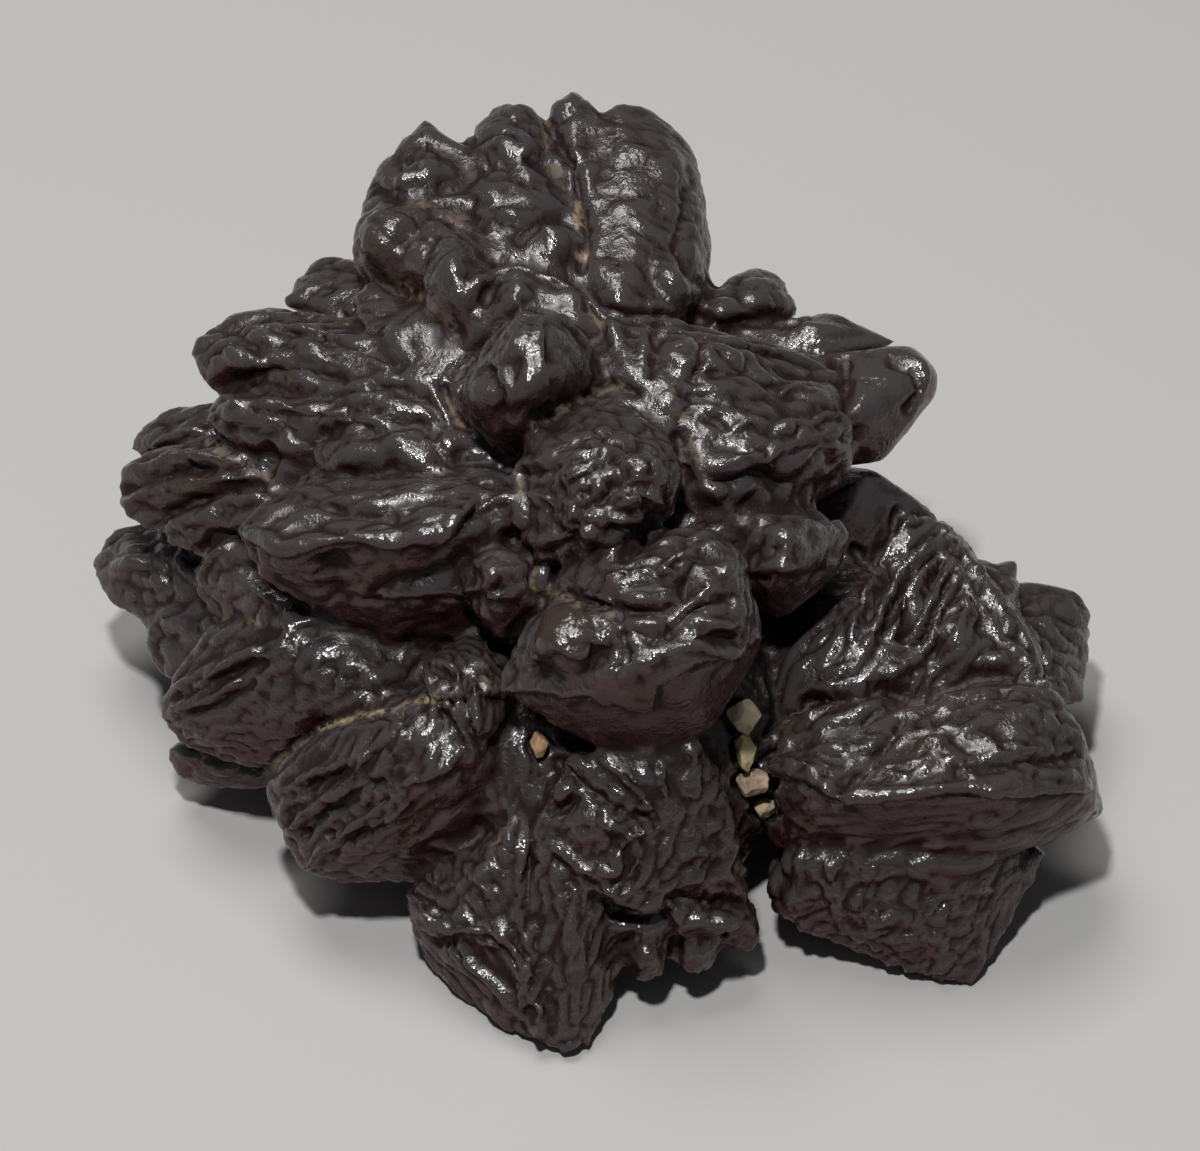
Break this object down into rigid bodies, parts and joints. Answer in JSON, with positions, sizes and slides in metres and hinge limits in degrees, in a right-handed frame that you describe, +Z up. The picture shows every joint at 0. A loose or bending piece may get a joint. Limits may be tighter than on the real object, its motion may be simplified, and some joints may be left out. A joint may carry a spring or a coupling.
{
  "type": "prophecy stone",
  "caption": "Radiating cluster of thick, blunt, dark varnished iron-oxide crystals with sand grains in its crevices, resting on worn facets.",
  "frame": {"origin": "centre of the bounding box at the ground, level with the worn facets that the stone rests on", "axes": "+X to the right across the face, +Y away from the viewer, +Z up; the face looks towards -Y and leans back 45 degrees"},
  "size_m": [0.0518, 0.0458, 0.03],
  "materials": {
    "varnish": "desert-varnished dark iron oxide, glossy on the crests and dull in the crevices",
    "sand": "dull, slightly translucent quartz and carbonate sand grains"
  },
  "bodies": {
    "root": {"stone": "varnish", "cleftGrainTop": "sand", "cleftGrainMiddle": "sand", "cleftGrainRose": "sand", "cleftGrainLow": "sand", "footGrain": "sand"}
  },
  "joints": []
}
